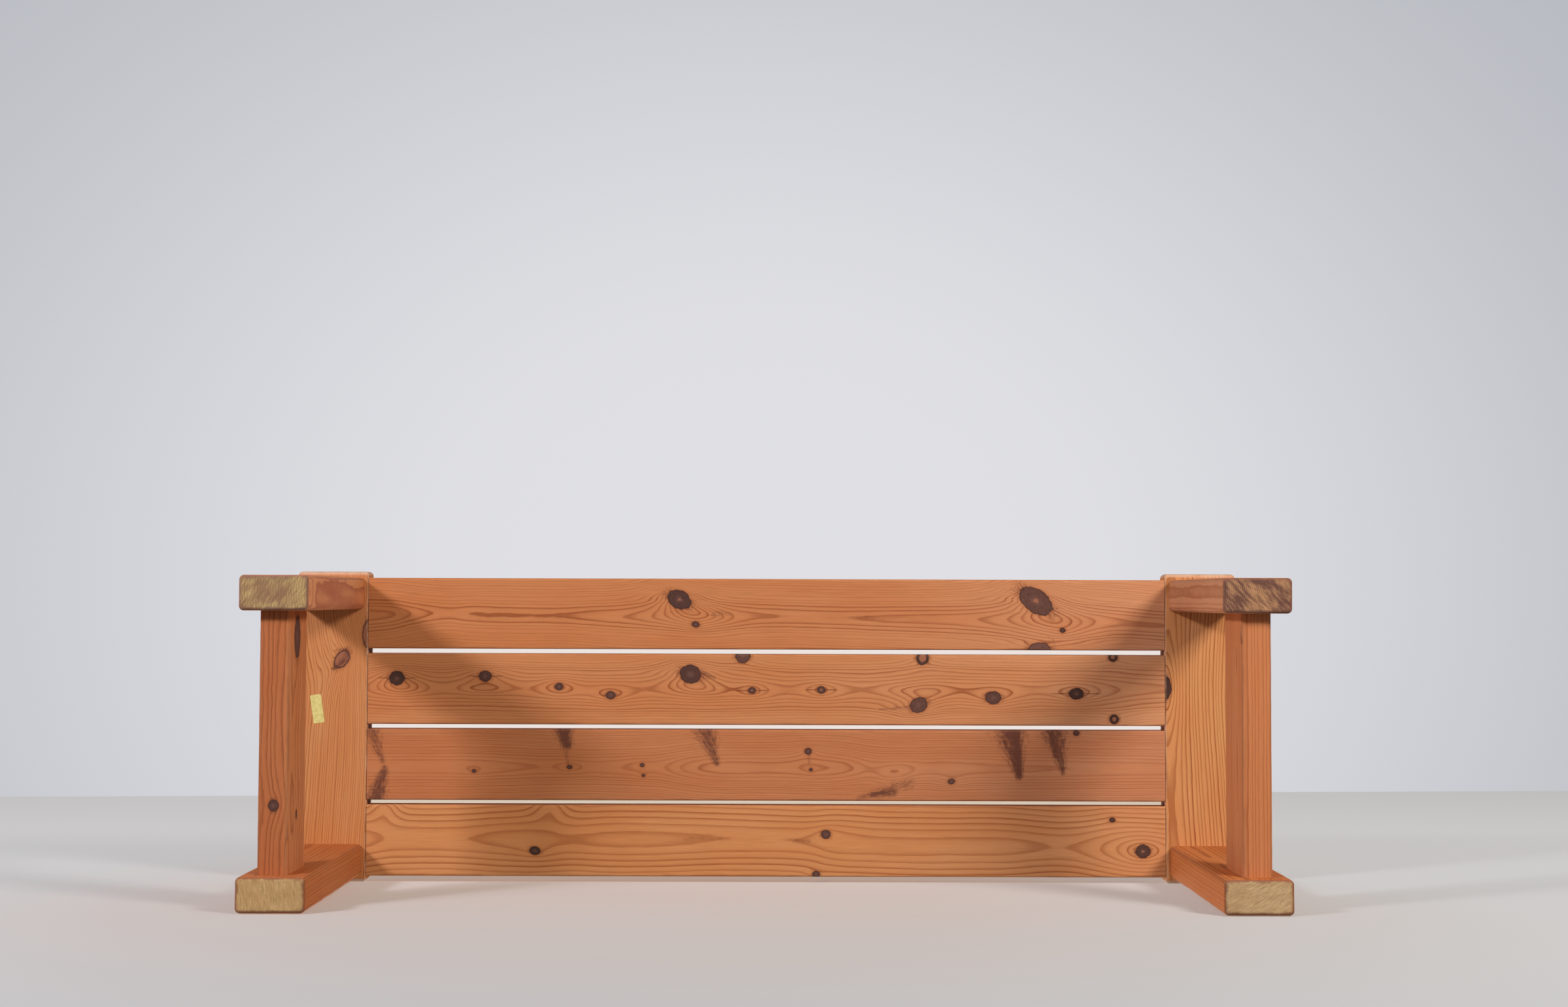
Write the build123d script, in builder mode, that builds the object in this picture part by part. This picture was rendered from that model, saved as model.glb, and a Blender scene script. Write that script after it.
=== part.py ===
from build123d import *
import os

# A solid pine slatted bench. A cross board closes each end of the seat, four slats run
# between the two, a rectangular leg stands under each end of each cross board, and a
# stretcher ties the two legs of each end near the floor. Every joint is dowelled and glued.
#
# Millimetres. +Z up, X along the bench, Y from front to back. The origin lies on the floor,
# under the middle of the seat.

# ---- overall ----
bench_length = 1400.0  # over the outer edges of the two end boards
bench_depth = 460.0  # over the front and back ends of the end boards
seat_height = 430.0  # floor to the top of the end boards

# ---- end boards ----
end_board_width = 106.0  # along X
end_board_thickness = 40.0
end_board_round = 6.0  # every arris but the two at the slats
end_board_slat_side_round = 2.5  # the two long arrises that the slats come up to

# ---- legs ----
leg_width = 92.0  # along X
leg_thickness = 47.0  # along Y
leg_end_inset = 9.0  # from the end of the end board back to the face of the leg
leg_round = 6.0  # long arrises
foot_round = 4.5  # arris around the foot

# ---- slats ----
slat_count = 4
slat_gap = 7.0  # open space between two slats
slat_thickness = 30.0  # flush below, so the end boards stand up as a lip above
slat_round = 2.5  # long arrises

# ---- stretchers ----
stretcher_height = 108.0  # along Z
stretcher_thickness = 40.0  # along X
stretcher_lift = 22.0  # floor to the lower edge
stretcher_outset = 2.5  # from the middle of the leg, away from the slats
stretcher_round = 5.0  # long arrises

# ---- dowels ----
dowel_clearance = 0.1  # on the radius, for glue
dowel_end_clearance = 2.0  # glue space in front of the end that isn't seated
dowel_chamfer = 1.0
dowel_web = 4.0  # wood between the slat dowels' holes and the nearest leg dowel

slat_dowel_radius = 5.0
slat_dowel_in_board = 25.0
slat_dowel_in_slat = 35.0
slat_dowel_pitch = 56.0  # across the slat

leg_dowel_radius = 6.0
leg_dowel_in_board = 28.0
leg_dowel_in_leg = 42.0
leg_dowel_pitch = 36.0  # along X

stretcher_dowel_radius = 5.0
stretcher_dowel_in_leg = 28.0
stretcher_dowel_in_stretcher = 32.0
stretcher_dowel_pitch = 60.0  # up the stretcher

# ---- blank paper label, under the left end board ----
label_width = 16.4
label_length = 42.3
label_thickness = 0.3
label_corner_radius = 2.0
label_tilt = -8.2  # degrees about +Z, out of line with the board
label_from_outer_edge = 31.3  # board's outer edge to the label's middle
label_from_middle = -25.9  # along Y, board's middle to the label's middle

# ---- places worked out from the sizes ----
end_board_x = (bench_length - end_board_width) / 2
slat_end_x = bench_length / 2 - end_board_width
seat_underside = seat_height - end_board_thickness

slat_field_depth = bench_depth - 2 * leg_end_inset
slat_width = (slat_field_depth - (slat_count - 1) * slat_gap) / slat_count
slat_pitch = slat_width + slat_gap
slat_y = [(index - (slat_count - 1) / 2) * slat_pitch for index in range(slat_count)]
slat_middle_z = seat_underside + slat_thickness / 2

leg_y = bench_depth / 2 - leg_end_inset - leg_thickness / 2
leg_inner_y = leg_y - leg_thickness / 2

stretcher_x = end_board_x + stretcher_outset
stretcher_middle_z = stretcher_lift + stretcher_height / 2

inner_leg_dowel_x = slat_end_x + slat_dowel_in_board + dowel_web + leg_dowel_radius
leg_dowel_x = [inner_leg_dowel_x, inner_leg_dowel_x + leg_dowel_pitch]

ends = {"left": -1, "right": 1}
sides = {"front": -1, "back": 1}
halves = (-0.5, 0.5)


# ---- joint faces: a plane at the mouth of each dowel hole, its normal out of the hole ----
def board_to_slat(end, y):
    """The slat dowels' planes on an end board's inner edge, for the slat at y."""
    return [
        Plane((end * slat_end_x, y + half * slat_dowel_pitch, slat_middle_z), z_dir=(-end, 0, 0))
        for half in halves
    ]


def leg_to_board(end, side):
    """The leg dowels' planes on top of a leg."""
    return [Plane((end * x, side * leg_y, seat_underside), z_dir=(0, 0, 1)) for x in leg_dowel_x]


def leg_to_stretcher(end, side):
    """The stretcher dowels' planes on the inner face of a leg."""
    return [
        Plane(
            (end * stretcher_x, side * leg_inner_y, stretcher_middle_z + half * stretcher_dowel_pitch),
            z_dir=(0, -side, 0),
        )
        for half in halves
    ]


def drill(planes, radius, depth):
    """Blind holes into the current part, one behind each plane."""
    with Locations(*planes):
        Hole(radius + dowel_clearance, depth=depth)


def mouths_opposite(planes):
    """The same joint faces, seen from the piece on the other side of the joint."""
    return [Plane(plane.origin, z_dir=-plane.z_dir) for plane in planes]


def finish(piece, name):
    """Name a finished piece and write it out."""
    piece.part.label = name
    export_step(piece.part, f"parts/{name}.step")


os.makedirs("parts", exist_ok=True)

# ---- end boards ----
for end_name, end in ends.items():
    with BuildPart() as end_board:
        with BuildSketch(Plane.XY.offset(seat_underside)):
            with Locations((end * end_board_x, 0)):
                Rectangle(end_board_width, bench_depth)
        extrude(amount=end_board_thickness)
        slat_side = end_board.faces().sort_by(Axis.X)[0 if end > 0 else -1]
        slat_side_arrises = slat_side.edges().filter_by(Axis.Y)
        fillet([edge for edge in end_board.edges() if edge not in slat_side_arrises], end_board_round)
        slat_side = end_board.faces().filter_by(Axis.X).sort_by(Axis.X)[0 if end > 0 else -1]
        fillet(slat_side.edges().filter_by(Axis.Y), end_board_slat_side_round)
        for y in slat_y:
            drill(board_to_slat(end, y), slat_dowel_radius, slat_dowel_in_board)
        for side in sides.values():
            drill(
                mouths_opposite(leg_to_board(end, side)),
                leg_dowel_radius,
                leg_dowel_in_board + dowel_end_clearance,
            )
    finish(end_board, f"end_board_{end_name}")

# ---- slats ----
for number, y in enumerate(slat_y, start=1):
    with BuildPart() as slat:
        with BuildSketch(Plane.XY.offset(seat_underside)):
            with Locations((0, y)):
                Rectangle(2 * slat_end_x, slat_width)
        extrude(amount=slat_thickness)
        fillet(slat.edges().filter_by(Axis.X), slat_round)
        for end in ends.values():
            drill(
                mouths_opposite(board_to_slat(end, y)),
                slat_dowel_radius,
                slat_dowel_in_slat + dowel_end_clearance,
            )
    finish(slat, f"slat_{number}")

# ---- legs ----
for end_name, end in ends.items():
    for side_name, side in sides.items():
        with BuildPart() as leg:
            with BuildSketch(Plane.XY):
                with Locations((end * end_board_x, side * leg_y)):
                    Rectangle(leg_width, leg_thickness)
            extrude(amount=seat_underside)
            fillet(leg.edges().filter_by(Axis.Z), leg_round)
            fillet(leg.faces().sort_by(Axis.Z)[0].edges(), foot_round)
            drill(leg_to_board(end, side), leg_dowel_radius, leg_dowel_in_leg)
            drill(leg_to_stretcher(end, side), stretcher_dowel_radius, stretcher_dowel_in_leg)
        finish(leg, f"leg_{end_name}_{side_name}")

# ---- stretchers ----
for end_name, end in ends.items():
    with BuildPart() as stretcher:
        with BuildSketch(Plane.XY.offset(stretcher_lift)):
            with Locations((end * stretcher_x, 0)):
                Rectangle(stretcher_thickness, 2 * leg_inner_y)
        extrude(amount=stretcher_height)
        fillet(stretcher.edges().filter_by(Axis.Y), stretcher_round)
        for side in sides.values():
            drill(
                mouths_opposite(leg_to_stretcher(end, side)),
                stretcher_dowel_radius,
                stretcher_dowel_in_stretcher + dowel_end_clearance,
            )
    finish(stretcher, f"stretcher_{end_name}")


# ---- dowels ----
def dowels(name, planes, radius, seated, free):
    """One dowel through each plane, its seated end on the bottom of the hole behind it."""
    with BuildPart() as group:
        for plane in planes:
            with BuildSketch(plane.offset(-seated)):
                Circle(radius)
            extrude(amount=seated + free)
        chamfer(group.edges().filter_by(GeomType.CIRCLE), dowel_chamfer)
    finish(group, name)


dowels(
    "slat_dowels",
    [plane for end in ends.values() for y in slat_y for plane in board_to_slat(end, y)],
    slat_dowel_radius,
    slat_dowel_in_board,
    slat_dowel_in_slat,
)
dowels(
    "leg_dowels",
    [plane for end in ends.values() for side in sides.values() for plane in leg_to_board(end, side)],
    leg_dowel_radius,
    leg_dowel_in_leg,
    leg_dowel_in_board,
)
dowels(
    "stretcher_dowels",
    [plane for end in ends.values() for side in sides.values() for plane in leg_to_stretcher(end, side)],
    stretcher_dowel_radius,
    stretcher_dowel_in_leg,
    stretcher_dowel_in_stretcher,
)

# ---- label ----
label_plane = Plane(
    (-bench_length / 2 + label_from_outer_edge, label_from_middle, seat_underside),
    x_dir=Vector(1, 0, 0).rotate(Axis.Z, label_tilt),
    z_dir=(0, 0, -1),
)
with BuildPart() as blank_label:
    with BuildSketch(label_plane):
        RectangleRounded(label_width, label_length, label_corner_radius)
    extrude(amount=label_thickness)
finish(blank_label, "blank_label")
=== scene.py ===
import math
from dataclasses import dataclass

import bpy
import numpy as np
from mathutils import Matrix, Vector


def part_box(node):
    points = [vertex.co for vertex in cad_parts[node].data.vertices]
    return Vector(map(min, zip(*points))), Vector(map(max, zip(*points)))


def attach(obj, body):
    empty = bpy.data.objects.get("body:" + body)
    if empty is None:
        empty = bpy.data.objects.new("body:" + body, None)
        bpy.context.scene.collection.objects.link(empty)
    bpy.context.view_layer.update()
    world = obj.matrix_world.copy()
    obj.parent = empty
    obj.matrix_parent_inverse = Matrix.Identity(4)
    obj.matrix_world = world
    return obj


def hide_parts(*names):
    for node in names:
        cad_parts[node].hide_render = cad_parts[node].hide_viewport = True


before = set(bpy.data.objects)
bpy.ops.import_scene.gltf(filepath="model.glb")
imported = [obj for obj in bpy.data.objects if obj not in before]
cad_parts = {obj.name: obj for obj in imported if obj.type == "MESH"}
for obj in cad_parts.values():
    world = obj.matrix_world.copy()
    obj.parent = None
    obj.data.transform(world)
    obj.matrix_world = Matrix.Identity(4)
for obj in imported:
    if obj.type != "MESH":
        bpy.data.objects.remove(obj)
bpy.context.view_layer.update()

# A solid pine slatted bench, seen from below as it lies on its back edge. Each board is a new
# mesh over its CAD node, fine enough to carry that board's growth rings, knots and wear as
# attributes, which its material then draws. Lengths are millimetres until a mesh is written.

TO_METRES = 0.001
X, Y, Z = range(3)  # row axes


def node_box(node):
    """Lowest and highest corner of a CAD node."""
    low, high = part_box(node)
    return np.array(low) / TO_METRES, np.array(high) / TO_METRES


SEAT_UNDERSIDE = node_box("slat_1")[0][Z]
STRETCHER_UNDERSIDE = node_box("stretcher_left")[0][Z]

# ---- the photograph's camera ----
PHOTO_WIDTH, PHOTO_HEIGHT = 2398, 1540
SENSOR_WIDTH = 36.0
LENS = 50.0
FOCAL_PIXELS = LENS / SENSOR_WIDTH * PHOTO_WIDTH
CAMERA_PLACE = np.array([8.3, -191.6, -2864.8])
CAMERA_PITCH, CAMERA_YAW, CAMERA_ROLL = -0.0437, -0.0051, 0.0033


def camera_axes():
    """Rows: the camera's right, down and forward directions in the row frame."""
    pitch = np.array(Matrix.Rotation(CAMERA_PITCH, 3, "X"))
    yaw = np.array(Matrix.Rotation(CAMERA_YAW, 3, "Y"))
    roll = np.array(Matrix.Rotation(CAMERA_ROLL, 3, "Z"))
    return roll @ yaw @ pitch


def sight_line(x, y):
    """The direction in which a pixel of the photograph looks."""
    across = (x - PHOTO_WIDTH / 2) / FOCAL_PIXELS
    down = (y - PHOTO_HEIGHT / 2) / FOCAL_PIXELS
    return camera_axes().T @ np.array([across, down, 1.0])


def seen(x, y, axis=Z, level=SEAT_UNDERSIDE):
    """The point that shows at a pixel of the photograph, where that row axis has that level."""
    line = sight_line(x, y)
    return CAMERA_PLACE + line * (level - CAMERA_PLACE[axis]) / line[axis]


def make_camera():
    camera = bpy.data.objects.new("camera", bpy.data.cameras.new("camera"))
    camera.data.sensor_width = SENSOR_WIDTH
    camera.data.lens = LENS
    camera.data.clip_end = 50.0
    right, down, forward = camera_axes()
    turn = Matrix(np.array([right, -down, -forward]).T.tolist()).to_4x4()
    camera.matrix_world = Matrix.Translation(CAMERA_PLACE * TO_METRES) @ turn
    bpy.context.collection.objects.link(camera)
    bpy.context.scene.camera = camera


# ---- colours ----
def linear(red, green, blue):
    """A colour written as it shows on screen, 0 to 255, as a shader wants it."""
    shown = np.array([red, green, blue]) / 255
    curved = np.where(shown <= 0.04045, shown / 12.92, ((shown + 0.055) / 1.055) ** 2.4)
    return (*curved.tolist(), 1.0)


# ---- what a board is made of ----
@dataclass
class Whorl:
    """A part of a board where the grain isn't straight."""

    at: np.ndarray  # a point on its axis
    size: tuple  # half length along the grain and half width across it
    turn: float = 0.0  # degrees, of the long half from the grain
    through: int = Z  # row axis that its own axis runs along
    lean: float = 0.0  # shift along the grain per length of its axis


@dataclass
class Knot(Whorl):
    """A branch through a board."""

    brown: float = 0.5  # 0 dead and black, 1 sound and brown
    pull: float = 1.0  # growth rings that close around it
    reach: float = 2.0  # how far the grain bends, in knot sizes
    stretch: float = 1.7  # how much further it bends along the grain than across
    spike: float = 0.0  # length of the thin dark line that it sends out along the grain
    heart: float = 0.0  # radius of its pale middle, in knot sizes


@dataclass
class Swell(Whorl):
    """A hump or a dip in the growth rings, away from any knot."""

    rise: float = 1.0  # growth rings at its top


@dataclass
class Streak:
    """A dark feather on a board: resin, and the painted shade at the ends of the gaps between the slats.
    """

    start: np.ndarray
    end: np.ndarray
    widths: tuple  # at its start and at its end
    dark: float = 1.0
    through: int = Z


@dataclass
class Rings:
    """Growth rings of a board, in its own axes: along the grain, across, and depth."""

    width: float
    pith: float  # distance of the tree's middle in front of the face at depth 0
    middle: tuple = ()  # points over the pith
    across: float = 0.0  # where the pith lies across, if no points say it
    crest: tuple = ()  # (point along, ring number) over the pith
    uneven: float = 0.22  # how much good and bad years differ, away from the crest


@dataclass
class Look:
    """Colours of one board's pine, as they show on screen, and the figure of its grain."""

    early: tuple
    late: tuple
    contrast: float = 0.85  # of the latewood
    waver: float = 0.16  # how far the lines stray, against their spacing
    end_early: tuple = (170, 116, 72)
    end_late: tuple = (112, 68, 40)
    end_rings: float = 0.6  # contrast of the growth rings on the ends
    end_dirt: float = 0.5
    end_slant: float = 30.0  # degrees, of the saw marks on the ends
    rim: tuple = (112, 66, 50)  # worn and dirty edge of an end
    worn: tuple = (150, 104, 80)  # rubbed long arrises
    rub: float = 0.3
    fade: tuple = (1.0, 1.0, 1.0)  # red, green and blue at the high end, against the rest
    # painted light: this tint brightens the deepest side of a board
    painted_light_tint: tuple = (1.0, 1.0, 1.0)  # red, green and blue at full depth, against the rest
    calm: float = 1.0  # contrast of the outer rings against the inner ones


@dataclass
class Board:
    name: str
    slot: str
    axes: tuple  # row axes of: along the grain, across, depth
    look: Look
    rings: Rings
    knots: tuple = ()
    streaks: tuple = ()
    swells: tuple = ()
    rounds: tuple = (6.0, 6.0, 6.0, 6.0)  # arris radii, from the low corner round by the show face
    end_rounds: tuple = (0.0, 0.0)  # arris radii at the low and the high end
    steps: tuple = (3.2, 3.0, 3.0)  # mesh spacing along, across the show face, across the rest
    wear: float = 1.0

    def seed(self):
        return sum(ord(letter) * (place + 1) for place, letter in enumerate(self.name))


# ---- board geometry ----
ARC_STEPS = 5
END_CAP_RINGS = 6
CAP_START = 0.004  # a cap's outermost ring, just inside the rim, so that sides and ends part sharply
SHARPEST = 0.2  # smallest arris radius, so that no two points meet
CORNERS = np.array([(-1, -1), (1, -1), (1, 1), (-1, 1)])


def section(size, board, inset=0.0):
    """A rounded rectangle that far inside the board's, and how far round an arris each point is."""
    radii = np.maximum(np.array(board.rounds) - inset, SHARPEST)
    centres = CORNERS * (size / 2 - inset - radii[:, None])
    points, arris = [], []
    for corner in range(4):
        for count in range(ARC_STEPS + 1):
            share = count / ARC_STEPS
            angle = math.pi + (corner + share) * math.pi / 2
            normal = np.array([math.cos(angle), math.sin(angle)])
            points.append(centres[corner] + radii[corner] * normal)
            arris.append(math.sin(share * math.pi))
        following = (corner + 1) % 4
        start = points[-1]
        way = centres[following] + radii[following] * normal - start
        straight = size[corner % 2] - board.rounds[corner] - board.rounds[following]
        pieces = max(1, round(straight / board.steps[1 if corner == 0 else 2]))
        for count in range(1, pieces):
            points.append(start + way * count / pieces)
            arris.append(0.0)
    return np.array(points), np.array(arris)


def stations(length, board):
    """Rows from end to end: place, inset of the section, share of an arris, share of an end."""
    low, high = board.end_rounds
    flat = length - low - high
    pieces = max(1, round(flat / board.steps[0]))
    rows = [(low + flat * count / pieces, 0.0, 0.0, 0.0) for count in range(pieces + 1)]
    turns = [count / ARC_STEPS * math.pi / 2 for count in range(ARC_STEPS)]
    for turn in reversed(turns):
        in_from_end, inset = 1 - math.cos(turn), 1 - math.sin(turn)
        shares = (math.sin(2 * turn), math.cos(turn))
        if low:
            rows.insert(0, (low * in_from_end, low * inset, *shares))
        if high:
            rows.append((length - high * in_from_end, high * inset, *shares))
    return rows


def loft(size, board):
    """Vertices in board axes, faces, and each vertex's share of an arris and of an end."""
    outline, arris = section(size[1:], board)
    around = len(outline)
    rows = stations(size[0], board)
    shrinks = [CAP_START, *(np.arange(1, END_CAP_RINGS) / END_CAP_RINGS)]
    caps = []
    for place, inset, _, _ in (rows[0], rows[-1]):
        rim = section(size[1:], board, inset)[0]
        caps.append([(place, rim * (1 - shrink)) for shrink in shrinks])
    points, on_arris, on_end = [], [], []

    def add(place, ring, arris_share, end_share):
        points.append(np.column_stack([np.full(len(ring), place), ring]))
        on_arris.append(np.broadcast_to(arris_share, len(ring)))
        on_end.append(np.full(len(ring), end_share))

    for place, ring in reversed(caps[0]):
        add(place, ring, 0.0, 1.0)
    for place, inset, arris_share, end_share in rows:
        ring = section(size[1:], board, inset)[0] if inset else outline
        add(place, ring, np.maximum(arris, arris_share), end_share)
    for place, ring in caps[1]:
        add(place, ring, 0.0, 1.0)
    count = len(points)
    for place in (rows[0][0], rows[-1][0]):
        add(place, np.zeros((1, 2)), 0.0, 1.0)

    spot = np.arange(around)
    beside = np.roll(spot, -1)
    base = np.arange(count - 1)[:, None] * around
    quads = np.stack([base + spot, base + beside, base + around + beside, base + around + spot], -1)
    top = (count - 1) * around
    low_fan = np.column_stack([np.full(around, count * around), beside, spot])
    high_fan = np.column_stack([np.full(around, count * around + 1), top + spot, top + beside])
    faces = quads.reshape(-1, 4).tolist() + low_fan.tolist() + high_fan.tolist()
    if np.linalg.det(np.eye(3)[list(board.axes)]) < 0:
        faces = [face[::-1] for face in faces]
    places = np.concatenate(points) + np.array([0.0, size[1] / 2, size[2] / 2])
    return places, faces, np.concatenate(on_arris), np.concatenate(on_end)


RIPPLE_WAVES = 8
RIPPLE_LENGTHS = (0.7, 1.6)  # of the shortest and the longest wave, against the length asked for


def ripple(spots, length, seed):
    """Smooth noise, mostly from -1 to 1, with features of about that length."""
    draw = np.random.default_rng(seed)
    total = np.zeros(len(spots))
    for _ in range(RIPPLE_WAVES):
        way = draw.normal(size=3)
        way *= 2 * math.pi / (length * draw.uniform(*RIPPLE_LENGTHS)) / np.linalg.norm(way)
        total += np.sin(spots @ way + draw.uniform(0, 2 * math.pi))
    return total / math.sqrt(RIPPLE_WAVES)


# ---- growth rings, knots and streaks as fields over a board ----
def smooth_line(places, known_at, values):
    """A smooth curve through the values, level beyond its ends."""
    known_at = np.array(known_at, float)
    values = np.array(values, float)
    slopes = np.gradient(values, known_at)
    places = np.clip(places, known_at[0], known_at[-1])
    span = np.clip(np.searchsorted(known_at, places) - 1, 0, len(values) - 2)
    width = known_at[span + 1] - known_at[span]
    t = (places - known_at[span]) / width
    level = (2 * t**3 - 3 * t**2 + 1) * values[span] + (3 * t**2 - 2 * t**3) * values[span + 1]
    bend = (t**3 - 2 * t**2 + t) * slopes[span] + (t**3 - t**2) * slopes[span + 1]
    return level + bend * width


def in_board(board, low, point):
    """A point of the row frame in board axes."""
    return (point - low)[list(board.axes)]


def whorl_place(board, low, whorl, spots):
    """Each spot's offset from a whorl's axis along and across the grain, in whorl sizes."""
    at = in_board(board, low, whorl.at)
    through = board.axes.index(whorl.through)
    side = 3 - through  # axes 1 and 2 run across the grain
    along = spots[:, 0] - at[0] - whorl.lean * (spots[:, through] - at[through])
    across = spots[:, side] - at[side]
    turn = math.radians(whorl.turn)
    length = (along * math.cos(turn) + across * math.sin(turn)) / whorl.size[0]
    width = (across * math.cos(turn) - along * math.sin(turn)) / whorl.size[1]
    return length, width


FIRST_RING = 40.0  # keeps every ring number above nought
SETTLED = 4  # rings away from the crest where years differ as much as they ever do
YEARS = ((1.9, 1.0), (0.83, 0.8))  # swings between good and bad years: radians a ring, and weight
KNOT_GRIP = 0.5  # in knot sizes, how far out a knot's pull is full


def ring_field(board, low, spots):
    """Growth ring number: a dark line runs wherever it passes a whole number."""
    rings = board.rings
    along, across, depth = spots.T
    middle = np.full(len(spots), rings.across)
    if rings.middle:
        line = [in_board(board, low, point) for point in rings.middle]
        middle = smooth_line(along, [point[0] for point in line], [point[1] for point in line])
    number = np.hypot(across - middle, rings.pith + depth) - abs(rings.pith)
    number = number / rings.width
    outward = np.clip(number / SETTLED, 0, 1)
    if rings.crest:
        places = [in_board(board, low, point)[0] for point, _ in rings.crest]
        number += smooth_line(along, places, [value for _, value in rings.crest])
    phases = np.random.default_rng(board.seed()).uniform(0, 6, len(YEARS))
    years = sum(weight * np.sin(number * pace + phase) for (pace, weight), phase in zip(YEARS, phases))
    number += rings.uneven * years * outward
    for swell in board.swells:
        length, width = whorl_place(board, low, swell, spots)
        number += swell.rise * np.exp(-(length**2) - width**2)
    for knot in board.knots:
        length, width = whorl_place(board, low, knot, spots)
        reach = np.hypot(length / knot.stretch, width)
        number -= knot.pull * np.exp(-np.maximum(reach - KNOT_GRIP, 0) / (knot.reach - KNOT_GRIP))
    return number + FIRST_RING


FAR = 60.0  # stands for out of reach of every knot


def knot_fields(board, low, spots):
    """Of the nearest knot: millimetres outside its rim; (place in it along and across, in knot
    sizes, and its lesser size); (brownness, length of its spike in knot sizes, radius of its heart)."""
    nearest = np.full(len(spots), FAR)
    local = np.tile([FAR, FAR, 1.0], (len(spots), 1))
    kind = np.zeros((len(spots), 3))
    for knot in board.knots:
        length, width = whorl_place(board, low, knot, spots)
        least = min(knot.size)
        outside = (np.hypot(length, width) - 1) * least
        closer = outside < nearest
        nearest[closer] = outside[closer]
        local[closer] = np.column_stack([length, width, np.full(len(spots), least)])[closer]
        kind[closer] = (knot.brown, knot.spike / knot.size[0], knot.heart)
    return nearest, local, kind


STREAK_DEPTH = 14.0  # how far into the board a streak goes


def streak_field(board, low, spots):
    """Of the darkest streak: place across its fan in widths, millimetres along it, and darkness."""
    fan = np.zeros((len(spots), 3))
    for streak in board.streaks:
        through = board.axes.index(streak.through)
        side = 3 - through
        start = in_board(board, low, streak.start)
        way = in_board(board, low, streak.end) - start
        length = math.hypot(way[0], way[side])
        ahead, beside = way[0] / length, way[side] / length
        offset = spots - start
        along = offset[:, 0] * ahead + offset[:, side] * beside
        across = offset[:, side] * ahead - offset[:, 0] * beside
        share = np.clip(along / length, 0, 1)
        width = streak.widths[0] + (streak.widths[1] - streak.widths[0]) * share
        off = np.hypot(across, along - share * length)
        spread = (off / width) ** 2 + (offset[:, through] / STREAK_DEPTH) ** 2
        dark = streak.dark * np.exp(-spread)
        darker = dark > fan[:, 2]
        fan[darker] = np.column_stack([across / width, along, dark])[darker]
    return fan


def write_attribute(mesh, name, values):
    values = np.asarray(values, dtype=np.float32)
    kind, part = ("FLOAT", "value") if values.ndim == 1 else ("FLOAT_VECTOR", "vector")
    mesh.attributes.new(name, kind, "POINT").data.foreach_set(part, values.ravel())


ARRIS_WEAR = 0.5
WEAR_LENGTH = 42.0  # of a worn patch
WEAR_BIAS, WEAR_MOST = 0.3, 1.3  # added to the patches, and the most that this comes to
GRAIN_SHIFT, GRAIN_SHIFTS = 0.37, 17  # metres and number, so that few boards share their noise
SHARP = math.radians(50)


def wear_arrises(mesh, board, spots, arris):
    """Rubs the arrises down a little, in patches."""
    normals = np.empty(len(mesh.vertices) * 3, dtype=np.float32)
    mesh.vertex_normals.foreach_get("vector", normals)
    places = np.empty(len(mesh.vertices) * 3, dtype=np.float32)
    mesh.vertices.foreach_get("co", places)
    patches = np.clip(ripple(spots, WEAR_LENGTH, board.seed()) + WEAR_BIAS, 0, WEAR_MOST)
    worn = ARRIS_WEAR * TO_METRES * board.wear * arris * patches
    places = places.reshape(-1, 3) - normals.reshape(-1, 3) * worn[:, None]
    mesh.vertices.foreach_set("co", places.ravel())
    mesh.update()


def build(board):
    """Makes the board's mesh over its CAD node, with the fields that its material draws."""
    low, high = node_box(board.name)
    size = (high - low)[list(board.axes)]
    spots, faces, arris, end = loft(size, board)
    places = np.empty_like(spots)
    places[:, list(board.axes)] = spots
    mesh = bpy.data.meshes.new(board.name)
    mesh.from_pydata(((places + low) * TO_METRES).tolist(), [], faces)
    wear_arrises(mesh, board, spots, arris)
    mesh.shade_smooth()
    mesh.set_sharp_from_angle(angle=SHARP)
    near, local, kind = knot_fields(board, low, spots)
    fields = {
        "ring": ring_field(board, low, spots),
        "knot": local,
        "near": near,
        "kind": kind,
        "streak": streak_field(board, low, spots),
        "arris": arris,
        "edge": np.minimum(spots[:, 1:], size[1:] - spots[:, 1:]).min(axis=1),
        "end": end,
        "run": spots[:, 0] / size[0],
        "deep": spots[:, 2] / size[2],
        "grain": spots * TO_METRES + GRAIN_SHIFT * (board.seed() % GRAIN_SHIFTS),
    }
    for name, values in fields.items():
        write_attribute(mesh, name, values)
    mesh.materials.append(pine(board))
    piece = bpy.data.objects.new(f"{board.name}_wood", mesh)
    bpy.context.collection.objects.link(piece)
    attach(piece, "root")
    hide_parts(board.name)


# ---- materials ----
class Value:
    """What a node gives out, so that a material reads as a formula."""

    def __init__(self, tree, socket):
        self.tree = tree
        self.socket = socket

    def __add__(self, other):
        return self.tree.math("ADD", self, other)

    def __sub__(self, other):
        return self.tree.math("SUBTRACT", self, other)

    def __rsub__(self, other):
        return self.tree.math("SUBTRACT", other, self)

    def __mul__(self, other):
        return self.tree.math("MULTIPLY", self, other)

    def __truediv__(self, other):
        return self.tree.math("DIVIDE", self, other)

    def __abs__(self):
        return self.tree.math("ABSOLUTE", self)

    def between(self, low, high, to_low=0.0, to_high=1.0):
        """Eased from low..high to to_low..to_high."""
        node = self.tree.nodes.new("ShaderNodeMapRange")
        node.interpolation_type = "SMOOTHSTEP"
        return self.tree.wire(node, enumerate((self, low, high, to_low, to_high)))


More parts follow.
